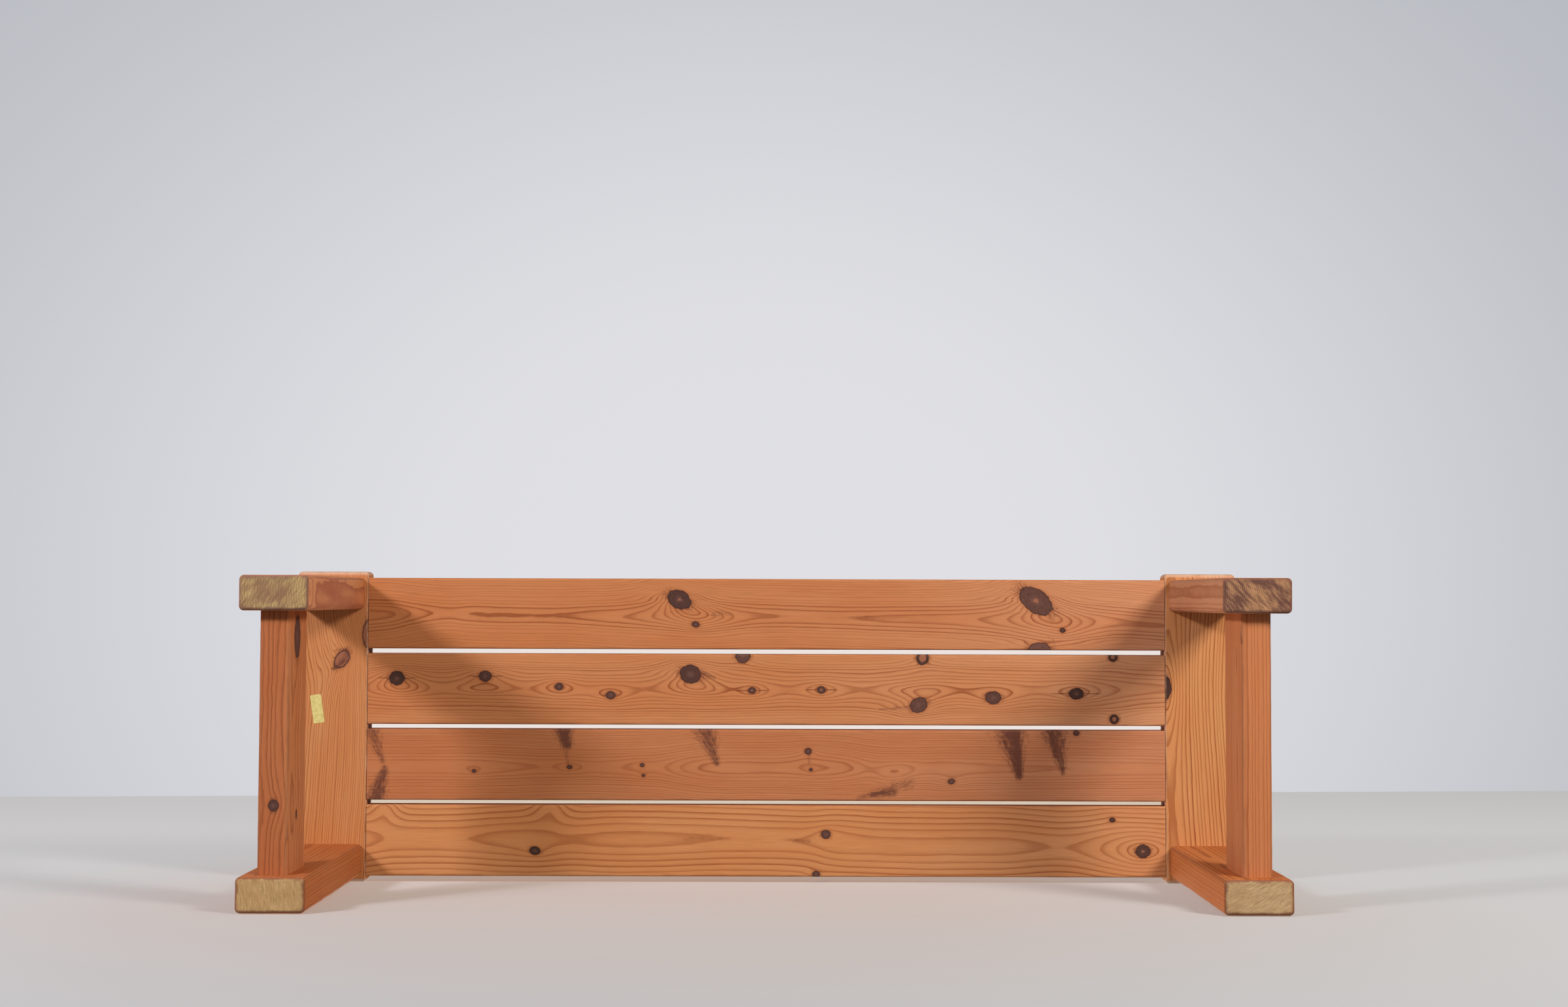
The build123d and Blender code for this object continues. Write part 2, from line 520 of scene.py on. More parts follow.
class Tree:
    """The nodes of a material or a world, made one after another."""

    def __init__(self, owner, output="ShaderNodeOutputMaterial"):
        owner.use_nodes = True
        self.owner = owner
        self.nodes = owner.node_tree.nodes
        self.links = owner.node_tree.links
        self.nodes.clear()
        self.output = self.nodes.new(output)

    def wire(self, node, inputs, output=0):
        """Fills a node's inputs, each by its number or name, and hands on one of its outputs."""
        for key, value in dict(inputs).items():
            if isinstance(value, Value):
                self.links.new(value.socket, node.inputs[key])
            else:
                node.inputs[key].default_value = value
        return Value(self, node.outputs[output])

    def add(self, kind, inputs=(), output=0):
        return self.wire(self.nodes.new(kind), inputs, output)

    def math(self, operation, *parts):
        node = self.nodes.new("ShaderNodeMath")
        node.operation = operation
        return self.wire(node, enumerate(parts))

    def distance(self, first, second):
        """The length of two offsets at right angles."""
        return self.math("SQRT", first * first + second * second)

    def mix(self, share, first, second, blend="MIX"):
        node = self.nodes.new("ShaderNodeMix")
        node.data_type = "RGBA"
        node.blend_type = blend
        return self.wire(node, {0: share, 6: first, 7: second}, 2)

    def tint(self, colour, by):
        return self.mix(1.0, colour, by, "MULTIPLY")

    def noise(self, vector, cycles, detail=2.0, rough=0.5):
        """Noise with that many cycles a metre along the grain, across it and in depth."""
        stretch = self.nodes.new("ShaderNodeVectorMath")
        stretch.operation = "MULTIPLY"
        stretched = self.wire(stretch, {0: vector, 1: cycles})
        inputs = {"Vector": stretched, "Scale": 1.0, "Detail": detail, "Roughness": rough}
        return self.add("ShaderNodeTexNoise", inputs)

    def ramp(self, value, stops):
        """Value through (place, grey) stops."""
        node = self.nodes.new("ShaderNodeValToRGB")
        while len(node.color_ramp.elements) < len(stops):
            node.color_ramp.elements.new(0.5)
        for element, (place, grey) in zip(node.color_ramp.elements, stops):
            element.position = place
            element.color = (grey, grey, grey, 1.0)
        return self.wire(node, {0: value})

    def attribute(self, name, output="Fac"):
        node = self.nodes.new("ShaderNodeAttribute")
        node.attribute_name = name
        return self.wire(node, {}, output)

    def parts(self, vector):
        node = self.nodes.new("ShaderNodeSeparateXYZ")
        self.wire(node, {0: vector})
        return [Value(self, socket) for socket in node.outputs]

    def place(self):
        """The place on the object itself, in metres."""
        return self.add("ShaderNodeTexCoord", output="Object")

    def rays(self, *kinds):
        """1 for those kinds of ray and 0 for all others."""
        path = self.nodes.new("ShaderNodeLightPath")
        chosen = 0.0
        for kind in kinds:
            chosen = self.math("MAXIMUM", self.wire(path, {}, kind), chosen)
        return chosen

    def show(self, surface):
        """Ends the tree, and hands on the material or the world that it belongs to."""
        self.links.new(surface.socket, self.output.inputs["Surface"])
        return self.owner

    def finish(self, colour, roughness, relief, strength, depth, specular=0.5):
        """Ends the tree in a surface with that colour, that roughness and that relief."""
        bump = {"Strength": strength, "Distance": depth, "Height": relief}
        inputs = {
            "Base Color": colour,
            "Roughness": roughness,
            "Specular IOR Level": specular,
            "Normal": self.add("ShaderNodeBump", bump),
        }
        return self.show(self.add("ShaderNodeBsdfPrincipled", inputs))


WHITE = (1.0, 1.0, 1.0, 1.0)
WARM_PATCH = (0.97, 0.90, 0.84, 1.0)
LATEWOOD = ((0.0, 0.35), (0.06, 0.05), (0.40, 0.03), (0.66, 0.22), (0.86, 0.85), (0.95, 1.0), (1.0, 0.8))
KNOT_RINGS = ((0.0, 0.2), (0.3, 0.8), (0.8, 0.5), (1.0, 0.1))
KNOT_BLACK, KNOT_BARK = linear(46, 30, 28), linear(80, 56, 48)
KNOT_BROWN, KNOT_PALE = linear(78, 50, 46), linear(132, 90, 76)
KNOT_MIDDLE, KNOT_HEART = linear(124, 86, 74), linear(152, 96, 70)
KNOT_RIM, KNOT_EDGE = linear(54, 36, 34), linear(104, 58, 40)
HALO = linear(150, 80, 44)
# colour of resin, and of the painted shade at the ends of the gaps between the slats
RESIN_AND_GAP_SHADE = linear(92, 54, 45)

# Noise, in cycles a metre along the grain, across it and in depth.
BROAD_WAVER, FINE_WAVER = (7, 30, 30), (45, 150, 150)
FIBRES, PATCHES, DIRT, SPECKS = (22, 900, 900), (5, 22, 22), (60, 60, 60), (500, 500, 500)
SAW_MARKS, END_PATCHES, END_SMEARS = (1, 70, 620), (1, 26, 26), (1, 50, 260)
KNOT_LUMPS, RESIN_CLOUD = (150, 150, 150), (120, 240, 240)
RESIN_STROKES = (4.0, 0.06, 0.0)  # per width across a streak and per millimetre along it

LUMPINESS = 0.34  # how far a knot's outline strays, in knot sizes
SPIKE_HALF = 1.1  # half width of a spike, in millimetres
RAGGED = 11.0  # how far the dirt along an end's rim strays, in millimetres
END_ROUGHNESS = 0.85


def grain_figure(tree, look, grain):
    """How much latewood shows at each point, from 0 to 1."""
    broad = tree.noise(grain, BROAD_WAVER, 3, 0.55)
    fine = tree.noise(grain, FINE_WAVER)
    ring = tree.attribute("ring") + (broad * 4.0 + fine * 1.2 - 2.6) * look.waver
    late = tree.ramp(tree.math("FRACT", ring), LATEWOOD)
    year = tree.nodes.new("ShaderNodeTexWhiteNoise")
    year.noise_dimensions = "1D"
    luck = tree.wire(year, {"W": tree.math("FLOOR", ring)})
    vigour = luck.between(0, 1, 0.6 * look.contrast, look.contrast)
    if look.calm < 1:
        vigour = vigour * ring.between(FIRST_RING + 3, FIRST_RING + 6, 1.0, look.calm)
    return late * vigour


def long_grain(tree, look, late, grain, fibre):
    """Wood along the grain, with its fibres, its warm patches, paler or darker parts toward its high
    end, and painted light that brightens its deepest side.
    """
    wood = tree.mix(late, linear(*look.early), linear(*look.late))
    far_end = tree.math("POWER", tree.attribute("run"), 3.0)
    wood = tree.tint(wood, tree.mix(far_end, WHITE, (*look.fade, 1.0)))
    # painted light that brightens the board's deepest side
    outer = tree.attribute("deep").between(0.8, 1.0)
    wood = tree.tint(wood, tree.mix(outer, WHITE, (*look.painted_light_tint, 1.0)))
    wood = tree.tint(wood, tree.ramp(fibre, ((0.25, 0.82), (0.75, 1.0))))
    patch = tree.noise(grain, PATCHES).between(0.35, 0.65)
    return tree.tint(wood, tree.mix(patch, WARM_PATCH, WHITE))


def turned(tree, grain, degrees):
    """The place on an end face, turned about the grain."""
    _, across, depth = tree.parts(grain)
    cosine, sine = math.cos(math.radians(degrees)), math.sin(math.radians(degrees))
    inputs = {1: across * cosine + depth * sine, 2: depth * cosine - across * sine}
    return tree.add("ShaderNodeCombineXYZ", inputs)


def end_grain(tree, look, late, grain, speck):
    """End grain, which takes up dirt and shows the saw."""
    wood = tree.mix(late * look.end_rings, linear(*look.end_early), linear(*look.end_late))
    slanted = turned(tree, grain, look.end_slant)
    saw = tree.noise(slanted, SAW_MARKS, 2, 0.6)
    wood = tree.tint(wood, tree.ramp(saw, ((0.34, 0.66), (0.66, 1.0))))
    wood = tree.tint(wood, tree.ramp(speck, ((0.3, 0.80), (0.7, 1.0))))
    soil = (tree.noise(grain, END_PATCHES) + tree.noise(slanted, END_SMEARS, 3, 0.6)) * 0.5
    return tree.mix(soil.between(0.40, 0.60, 0.0, look.end_dirt), wood, linear(*look.end_late))


def knot_core(tree, lumps, lumpy, outside, brown, heart, crack):
    """The inside of a knot: rings, cracks, a dark rim and maybe a heart."""
    ring = tree.ramp(tree.math("FRACT", lumps * 1.2 + outside * 0.55), KNOT_RINGS)
    dead = tree.mix(ring, KNOT_BLACK, KNOT_BARK)
    sound = tree.mix(ring, KNOT_BROWN, KNOT_PALE)
    core = tree.mix(brown, dead, sound)
    core = tree.mix(lumpy.between(0.55, 0.05, 0.0, 0.45), core, KNOT_MIDDLE)
    core = tree.mix(crack * 0.5, core, KNOT_RIM)
    core = tree.mix(outside.between(-2.4, -0.4, 0.0, 0.5), core, KNOT_RIM)
    in_heart = (lumpy - heart).between(0.07, -0.05) * heart.between(0.0, 0.1)
    return tree.mix(in_heart, core, KNOT_HEART)


def knot_layer(tree, wood, grain):
    """Knots over the wood, with a halo, short beams and spikes along the grain.

    Gives the wood, how far inside a knot each point is, from 0 to 1, and the knots' cracks.
    """
    along, across, least = tree.parts(tree.attribute("knot", "Vector"))
    brown, spike, heart = tree.parts(tree.attribute("kind", "Vector"))
    near = tree.attribute("near")
    lumps = tree.noise(grain, KNOT_LUMPS)
    stray = (lumps - 0.5) * LUMPINESS
    radius = tree.distance(along, across)
    lumpy = radius + stray
    outside = tree.math("MAXIMUM", (lumpy - 1.0) * least, near - 2.0)
    inside = outside.between(0.5, -0.4)
    angle = tree.math("ARCTAN2", across, along)
    star = abs(tree.math("SINE", angle * 1.5 + lumps * 3.0))
    crack = star.between(0.14, 0.02) * radius.between(0.85, 0.3)
    core = knot_core(tree, lumps, lumpy, outside, brown, heart, crack)

    wood = tree.mix(outside.between(6.0, 0.0, 0.0, 0.26), wood, HALO)
    wood = tree.mix(outside.between(1.4, 0.3, 0.0, 0.5), wood, KNOT_EDGE)
    beams = abs(tree.math("SINE", angle * 11.0 + lumps * 9.0)).between(0.35, 0.9)
    level = abs(tree.math("COSINE", angle)).between(0.72, 0.98)
    close = (outside / least).between(0.75, 0.1)
    wood = tree.mix(beams * level * close * 0.5, wood, KNOT_EDGE)
    reach = abs(along)
    taper = (spike - reach).between(0.0, 1.2)
    beside = (reach * least - near).between(-4.0, -2.0)
    thin = (abs(across + stray) * least).between(SPIKE_HALF, 0.3)
    wood = tree.mix(thin * taper * beside * 0.8, wood, KNOT_EDGE)
    return tree.mix(inside, wood, core), inside, crack * inside


def resin_and_gap_shade_layer(tree, wood, grain):
    """Resin over the wood, in strokes along its streaks, and the painted shade at the ends of the gaps
    between the slats.
    """
    fan = tree.attribute("streak", "Vector")
    feather = tree.parts(fan)[2]
    strokes = tree.noise(fan, RESIN_STROKES, 3, 0.65)
    cloud = tree.noise(grain, RESIN_CLOUD, 2, 0.6)
    strokes = (strokes + cloud * 0.5 - 0.75) * feather.between(0.0, 0.3, 0.0, 1.7)
    return tree.mix((feather + strokes).between(0.1, 1.2, 0.0, 0.9), wood, RESIN_AND_GAP_SHADE)


def pine(board):
    """Aged, clear lacquered pine for one board, drawn from the fields on its mesh."""
    look = board.look
    tree = Tree(bpy.data.materials.new(f"pine_{board.name}"))
    grain = tree.attribute("grain", "Vector")
    end = tree.attribute("end")
    late = grain_figure(tree, look, grain)
    fibre = tree.noise(grain, FIBRES, 2, 0.6)
    dirt = tree.noise(grain, DIRT, 3, 0.6)
    speck = tree.noise(grain, SPECKS, 3, 0.6)

    on_end = end.between(0.55, 0.95)
    wood = long_grain(tree, look, late, grain, fibre)
    wood = tree.mix(on_end, wood, end_grain(tree, look, late, grain, speck))
    edge = tree.attribute("edge") - (dirt - 0.5) * RAGGED
    rim = edge.between(6.0, 0.5) * end.between(0.0, 0.7)
    wood = tree.mix(rim * 0.8, wood, linear(*look.rim))
    wood, inside, crack = knot_layer(tree, wood, grain)
    wood = resin_and_gap_shade_layer(tree, wood, grain)
    rub = tree.attribute("arris") * dirt.between(0.35, 0.65, 0.25, 1.0)
    wood = tree.mix(rub * look.rub, wood, linear(*look.worn))

    gloss = fibre.between(0.2, 0.8, 0.52, 0.68)
    roughness = gloss + (END_ROUGHNESS - gloss) * on_end
    relief = (late + fibre) * 0.5 + speck * on_end * 1.5 + inside * 0.3 - crack * 2.0
    return tree.finish(wood, roughness, relief, 0.35, 0.0004, specular=0.02)


def beech():
    """Bare turned dowel wood."""
    tree = Tree(bpy.data.materials.new("beech_dowel"))
    fleck = tree.noise(tree.place(), (260, 260, 260), 4, 0.6)
    grain = tree.noise(tree.place(), (900, 900, 60))
    wood = tree.mix(fleck.between(0.35, 0.65), linear(214, 176, 128), linear(190, 148, 100))
    wood = tree.tint(wood, tree.ramp(grain, ((0.3, 0.85), (0.7, 1.0))))
    return tree.finish(wood, fleck.between(0.2, 0.8, 0.6, 0.75), grain, 0.3, 0.0003)


def aged_paper():
    """Yellowed blank paper with faint foxing."""
    tree = Tree(bpy.data.materials.new("aged_paper"))
    foxing = tree.noise(tree.place(), (170, 170, 170), 3, 0.6)
    pulp = tree.noise(tree.place(), (2200, 2200, 2200), 3, 0.6)
    paper = tree.mix(foxing.between(0.40, 0.70), linear(218, 200, 122), linear(200, 178, 102))
    paper = tree.tint(paper, tree.ramp(pulp, ((0.3, 0.92), (0.7, 1.0))))
    return tree.finish(paper, pulp.between(0.2, 0.8, 0.65, 0.8), pulp, 0.3, 0.0001)


def dress(node, material):
    """Gives a CAD node that stays its material."""
    for slot in bpy.data.objects[node].material_slots:
        slot.material = material


# ---- the boards ----
def pith_line(pixels):
    """Points of the seat's underside, given as x: y of the photograph."""
    return tuple(seen(x, y) for x, y in pixels.items())


def crest_line(y, values):
    """Ring numbers at pixel columns of the photograph, on a board that runs across it."""
    return tuple((seen(x, y), value) for x, value in values.items())


SLAT_ROUNDS = (2.5, 2.5, 2.5, 2.5)
SLAT_STEPS = (3.0, 2.2, 3.6)


def slat(number, look, rings, knots=(), streaks=(), swells=()):
    return Board(
        f"slat_{number}", f"slat_{number}", (X, Y, Z), look, rings, knots, streaks, swells,
        rounds=SLAT_ROUNDS, steps=SLAT_STEPS, wear=0.6,
    )


SLAT_1_MIDDLE = pith_line({
    560: 941, 665: 938, 760: 940, 870: 941, 980: 944, 1180: 942, 1295: 945, 1490: 948, 1600: 950,
    1700: 950, 1780: 957,
})
SLAT_1_CREST = crest_line(945, {
    560: 0.3, 606: 1.0, 631: 2.0, 665: 3.0, 690: 3.3, 715: 3.0, 760: 2.92, 870: 2.85, 900: 2.6,
    1000: 2.3, 1120: 2.25, 1250: 2.1, 1295: 2.0, 1340: 1.85, 1490: 1.5, 1700: 1.3, 1780: 1.1,
})
SLAT_1 = slat(
    1,
    Look(early=(201, 128, 81), late=(144, 74, 42), contrast=0.95, fade=(1.12, 1.32, 1.70), calm=0.45),
    Rings(width=3.9, pith=14.0, middle=SLAT_1_MIDDLE, crest=SLAT_1_CREST),
    knots=(
        Knot(seen(1039, 917), (18.5, 13.5), turn=28, brown=0.3, pull=7.5, stretch=1.4, heart=0.1),
        Knot(seen(1064, 955), (5.5, 4.5), turn=10, pull=1.2),
        Knot(seen(1584, 919), (28, 17), turn=36, brown=0.65, pull=7.0, reach=1.8, stretch=1.5,
             heart=0.14),
        Knot(seen(1625, 964), (4, 3.6), brown=0.2, pull=0.6, reach=1.8),
        Knot(seen(1590, 994), (17, 11), brown=1.0, pull=3.5),
    ),
    streaks=(
        Streak(seen(720, 944), seen(860, 946), (6, 7), 0.22),
        Streak(seen(1092, 939), seen(1118, 938), (6, 4), 0.45),
        Streak(seen(1298, 945), seen(1335, 945), (3, 5), 0.4),
        Streak(seen(1606, 975), seen(1612, 984), (5, 4), 0.35),
    ),
    swells=(Swell(seen(1070, 936), (40, 12), rise=-1.5, turn=14),),
)

SLAT_2_CREST = crest_line(1055, {
    560: 1.2, 700: 0.5, 800: 0.2, 1000: 0.4, 1200: 0.6, 1500: 0.3, 1780: 0.9,
})
SLAT_2 = slat(
    2,
    Look(early=(203, 132, 85), late=(149, 78, 45), contrast=0.9, fade=(1.13, 1.34, 1.62), calm=0.5),
    Rings(width=4.3, pith=18.0, middle=pith_line({600: 1055, 1200: 1055, 1780: 1053}),
          crest=SLAT_2_CREST),
    knots=(
        Knot(seen(607, 1037), (11, 10.5), brown=0.1, pull=5.2, reach=2.2, spike=34),
        Knot(seen(742, 1034), (9, 8), brown=0.35, pull=4.0, reach=2.2, stretch=2.2, spike=30),
        Knot(seen(855, 1050), (6, 5.5), brown=0.4, pull=3.4, reach=2.8),
        Knot(seen(934, 1063), (7, 6), pull=3.2, reach=2.8, spike=18),
        Knot(seen(1056, 1031), (16, 13.5), turn=15, brown=0.3, pull=6.5, reach=2.1, stretch=1.4),
        Knot(seen(1136, 1003), (11, 11), brown=0.6, pull=2.4),
        Knot(seen(1150, 1056), (5.5, 5), pull=3.0, reach=2.8, spike=26, heart=0.25),
        Knot(seen(1256, 1055), (6, 5.5), pull=3.0, reach=2.8, spike=27, heart=0.25),
        Knot(seen(1411, 1006), (9, 11), turn=10, brown=0.3, pull=2.4, heart=0.55),
        Knot(seen(1405, 1078), (13, 11), turn=-25, brown=0.65, pull=4.4, reach=2.2),
        Knot(seen(1519, 1067), (12, 9.5), pull=3.8, reach=2.4),
        Knot(seen(1646, 1061), (11, 8.5), brown=0.1, pull=3.6, reach=2.4, spike=42),
        Knot(seen(1702, 1005), (6.5, 7), brown=0.2, pull=1.5, heart=0.4),
        Knot(seen(1704, 1100), (7, 7), brown=0.2, pull=1.8, reach=2.2, heart=0.42),
    ),
    streaks=(
        Streak(seen(1195, 1057), seen(1225, 1057), (3, 3), 0.3),
        Streak(seen(1345, 1085), seen(1395, 1081), (1.5, 4), 0.6),
        Streak(seen(1070, 1030), seen(1092, 1036), (8, 3), 0.75),
    ),
    swells=(
        Swell(seen(618, 1052), (30, 9), rise=-1.4),
        Swell(seen(738, 1053), (34, 7), rise=-1.5),
        Swell(seen(1066, 1052), (36, 9), rise=-1.2, turn=6),
        Swell(seen(1395, 1056), (44, 9), rise=-1.2),
    ),
)

SLAT_3_CREST = crest_line(1173, {
    560: 0.2, 760: 0.4, 830: 1.0, 900: 1.3, 950: 1.0, 1018: 0.0, 1040: -1.0, 1067: -2.0, 1180: -2.5,
    1305: -2.0, 1325: -1.0, 1450: -0.6, 1780: 0.4,
})
SLAT_3 = slat(
    3,
    Look(early=(195, 124, 81), late=(154, 83, 50), contrast=0.75, fade=(1.10, 1.24, 1.50)),
    Rings(width=2.4, pith=26.0, middle=pith_line({560: 1172, 1200: 1174, 1780: 1176}),
          crest=SLAT_3_CREST),
    knots=(
        Knot(seen(725, 1179), (3, 2.6), brown=0.6),
        Knot(seen(871, 1173), (3.6, 3), pull=1.6, reach=2.4),
        Knot(seen(982, 1170), (3, 2.8), brown=0.6),
        Knot(seen(984, 1186), (2.4, 2.2), brown=0.6, pull=0.8),
        Knot(seen(1236, 1149), (5, 5), pull=1.8),
        Knot(seen(1240, 1177), (2.6, 2.4), brown=0.6, pull=0.8),
        Knot(seen(1455, 1195), (5, 4), turn=-10, brown=0.7, pull=1.6),
        Knot(seen(1646, 1121), (4.5, 4), brown=0.4, reach=1.8),
    ),
    streaks=(
        Streak(seen(861, 1112), seen(866, 1138), (15, 9), 1.3),
        Streak(seen(864, 1140), seen(869, 1172), (5, 2), 0.6),
        Streak(seen(1076, 1110), seen(1096, 1168), (20, 5), 0.95),
        Streak(seen(1543, 1110), seen(1558, 1188), (27, 6), 1.1),
        Streak(seen(1552, 1118), seen(1559, 1186), (12, 6), 1.35),
        Streak(seen(1610, 1110), seen(1626, 1182), (24, 4), 0.95),
        Streak(seen(1606, 1116), seen(1615, 1156), (8, 6), 1.15),
        Streak(seen(568, 1116), seen(585, 1164), (16, 5), 0.75),
        Streak(seen(588, 1176), seen(574, 1222), (6, 17), 1.05),
        Streak(seen(1332, 1216), seen(1366, 1210), (5, 8), 1.05),
        Streak(seen(1314, 1221), seen(1390, 1197), (6, 11), 0.55),
        Streak(seen(1236, 1149), seen(1238, 1168), (4, 2), 0.5),
    ),
    swells=(
        Swell(seen(1366, 1186), (32, 18), rise=-2.4, turn=-14),
        Swell(seen(1330, 1206), (44, 10), rise=-1.2, turn=-10),
    ),
)

SLAT_4_MIDDLE = pith_line({560: 1283, 900: 1283, 1200: 1285, 1350: 1293, 1590: 1295, 1780: 1299})
SLAT_4_CREST = crest_line(1285, {
    560: 0.5, 588: 1.0, 640: 1.2, 700: 1.1, 720: 1.0, 760: 0.72, 820: 0.62, 862: 0.9, 874: 0.9,
    920: 0.64, 1000: 0.62, 1050: 0.8, 1117: 1.0, 1150: 1.05, 1200: 1.12, 1236: 1.1, 1247: 1.0,
    1262: 0.7, 1350: 0.5, 1450: 0.45, 1550: 0.62, 1590: 1.0, 1622: 1.2, 1645: 1.15, 1662: 1.0,
    1690: 0.7, 1780: 0.6,
})
SLAT_4 = slat(
    4,
    Look(early=(211, 141, 89), late=(156, 82, 42), contrast=0.82, waver=0.10,
         fade=(1.05, 1.12, 1.28)),
    Rings(width=7.7, pith=20.0, middle=SLAT_4_MIDDLE, crest=SLAT_4_CREST, uneven=0.0),
    knots=(
        Knot(seen(818, 1301), (8, 6), turn=10, brown=0.2, pull=0.9),
        Knot(seen(1263, 1276), (7, 6.5), brown=0.6, reach=2.2),
        Knot(seen(1248, 1337), (5.5, 5), brown=0.6, pull=0.8, lean=0.4),
        Knot(seen(1748, 1302), (11, 10), brown=0.35, pull=4.2, reach=2.6, stretch=1.5, heart=0.16),
        Knot(seen(1701, 1254), (4, 3.6), brown=0.2, pull=0.5),
    ),
    streaks=(Streak(seen(1050, 1283), seen(1110, 1283), (5, 2), 0.35),
             Streak(seen(1214, 1286), seen(1236, 1286), (4, 4), 0.5)),
    swells=(
        Swell(seen(588, 1230), (22, 24), rise=-2.6),
        Swell(seen(842, 1228), (26, 22), rise=-2.8),
    ),
)


END_BOARD_STEPS = (3.0, 2.6, 4.0)
END_BOARD_WEAR = dict(
    worn=(208, 168, 142), rub=0.75, rim=(208, 160, 130),
    end_early=(218, 172, 138), end_late=(182, 130, 98), end_dirt=0.25,
)
GAP_ROWS = (996, 1112, 1227)  # pixel rows of the gaps between the slats
GAP_HALF = 3  # pixels
# the painted shade at the gap ends sits this far above the seat's underside, in millimetres
GAP_SHADE_HEIGHT = 22.0


def gap_shade(x):
    """Painted shade on an end board's inner edge, at the ends of the gaps between the slats."""
    mouths = [(seen(x, row - GAP_HALF), seen(x, row + GAP_HALF)) for row in GAP_ROWS]
    rise = np.array([0.0, 0.0, GAP_SHADE_HEIGHT])
    return tuple(Streak(low + rise, high + rise, (12, 12), 1.6, through=X) for low, high in mouths)


END_BOARD_LEFT = Board(
    "end_board_left", "end_board_left", (Y, X, Z),
    Look(early=(209, 141, 90), late=(154, 86, 51), fade=(0.97, 0.88, 0.76), **END_BOARD_WEAR),
    Rings(width=3.0, pith=40.0, middle=pith_line({430: 880, 440: 1100, 425: 1345})),
    knots=(
        Knot(seen(523, 1008), (15, 10), turn=-35, brown=0.8, pull=5.0, reach=2.4, stretch=1.8,
             heart=0.82),
        Knot(seen(567, 970), (24, 12), brown=0.9, pull=-4.0, reach=2.2, stretch=1.3, heart=0.9),
    ),
    streaks=(
        Streak(seen(509, 1023), seen(528, 1009), (2.5, 6), 0.9),
        Streak(seen(528, 1009), seen(531, 993), (6, 3), 0.75),
        Streak(seen(531, 993), seen(512, 994), (3.5, 2), 0.75),
        # painted shade at the ends of the gaps between the slats
        *gap_shade(564),
    ),
    rounds=(6.0, 2.5, 2.5, 6.0), end_rounds=(6.0, 6.0), steps=END_BOARD_STEPS,
)


RIGHT_CREST = {880: 1.1, 1200: 1.1, 1240: 1.0, 1290: 0.8, 1345: 0.68}  # at pixel rows
END_BOARD_RIGHT = Board(
    "end_board_right", "end_board_right", (Y, X, Z),
    Look(early=(217, 149, 95), late=(160, 90, 50), contrast=1.05, **END_BOARD_WEAR),
    Rings(width=5.0, pith=26.0, middle=pith_line({1792: 880, 1781: 1052, 1790: 1200, 1798: 1345}),
          crest=tuple((seen(1840, y), value) for y, value in RIGHT_CREST.items()), uneven=0.15),
    knots=(Knot(seen(1781, 1052), (18, 10), brown=0.2, pull=5.0, reach=2.6, stretch=1.4),),
    # painted shade at the ends of the gaps between the slats
    streaks=gap_shade(1780),
    rounds=(2.5, 6.0, 6.0, 2.5), end_rounds=(6.0, 6.0), steps=END_BOARD_STEPS,
)


LEFT_STRETCHER_FACE = node_box("stretcher_left")[1][X]
RIGHT_STRETCHER_FACE = node_box("stretcher_right")[0][X]
RIGHT_DROP = [seen(x, y, X, RIGHT_STRETCHER_FACE) for x, y in ((1897, 968), (1898, 984))]
STRETCHERS = (
    Board(
        "stretcher_left", "stretcher", (Y, Z, X),
        Look(early=(182, 108, 67), late=(126, 68, 42), contrast=0.8, waver=0.42,
             # painted light on its inner side
             painted_light_tint=(1.28, 1.45, 1.5)),
        Rings(width=6.0, pith=24.0, across=26.0),
        knots=(
            Knot(seen(455, 974, X, LEFT_STRETCHER_FACE), (28, 18), pull=2.0, reach=2.2, stretch=1.4,
                 through=X),
            Knot(seen(418, 1232, Z, STRETCHER_UNDERSIDE), (8, 7), brown=0.4, pull=2.0, reach=2.2),
            Knot(seen(453, 1245, X, LEFT_STRETCHER_FACE), (6, 4), brown=0.1, pull=0.8, through=X),
        ),
        rounds=(5.0, 5.0, 5.0, 5.0),
    ),
    Board(
        "stretcher_right", "stretcher", (Y, Z, X),
        Look(early=(203, 128, 83), late=(152, 84, 51), contrast=0.7),
        Rings(width=4.6, pith=26.0, across=30.0),
        streaks=(Streak(*RIGHT_DROP, (2, 2), 0.8, through=X),),
        rounds=(5.0, 5.0, 5.0, 5.0),
    ),
)


def leg(end, side, look, rings, knots=(), streaks=(), swells=()):
    return Board(
        f"leg_{end}_{side}", "leg", (Z, X, Y), look, rings, knots, streaks, swells, end_rounds=(4.5, 0.0)
    )


LEFT_LEG_FACE = node_box("leg_left_front")[1][X]
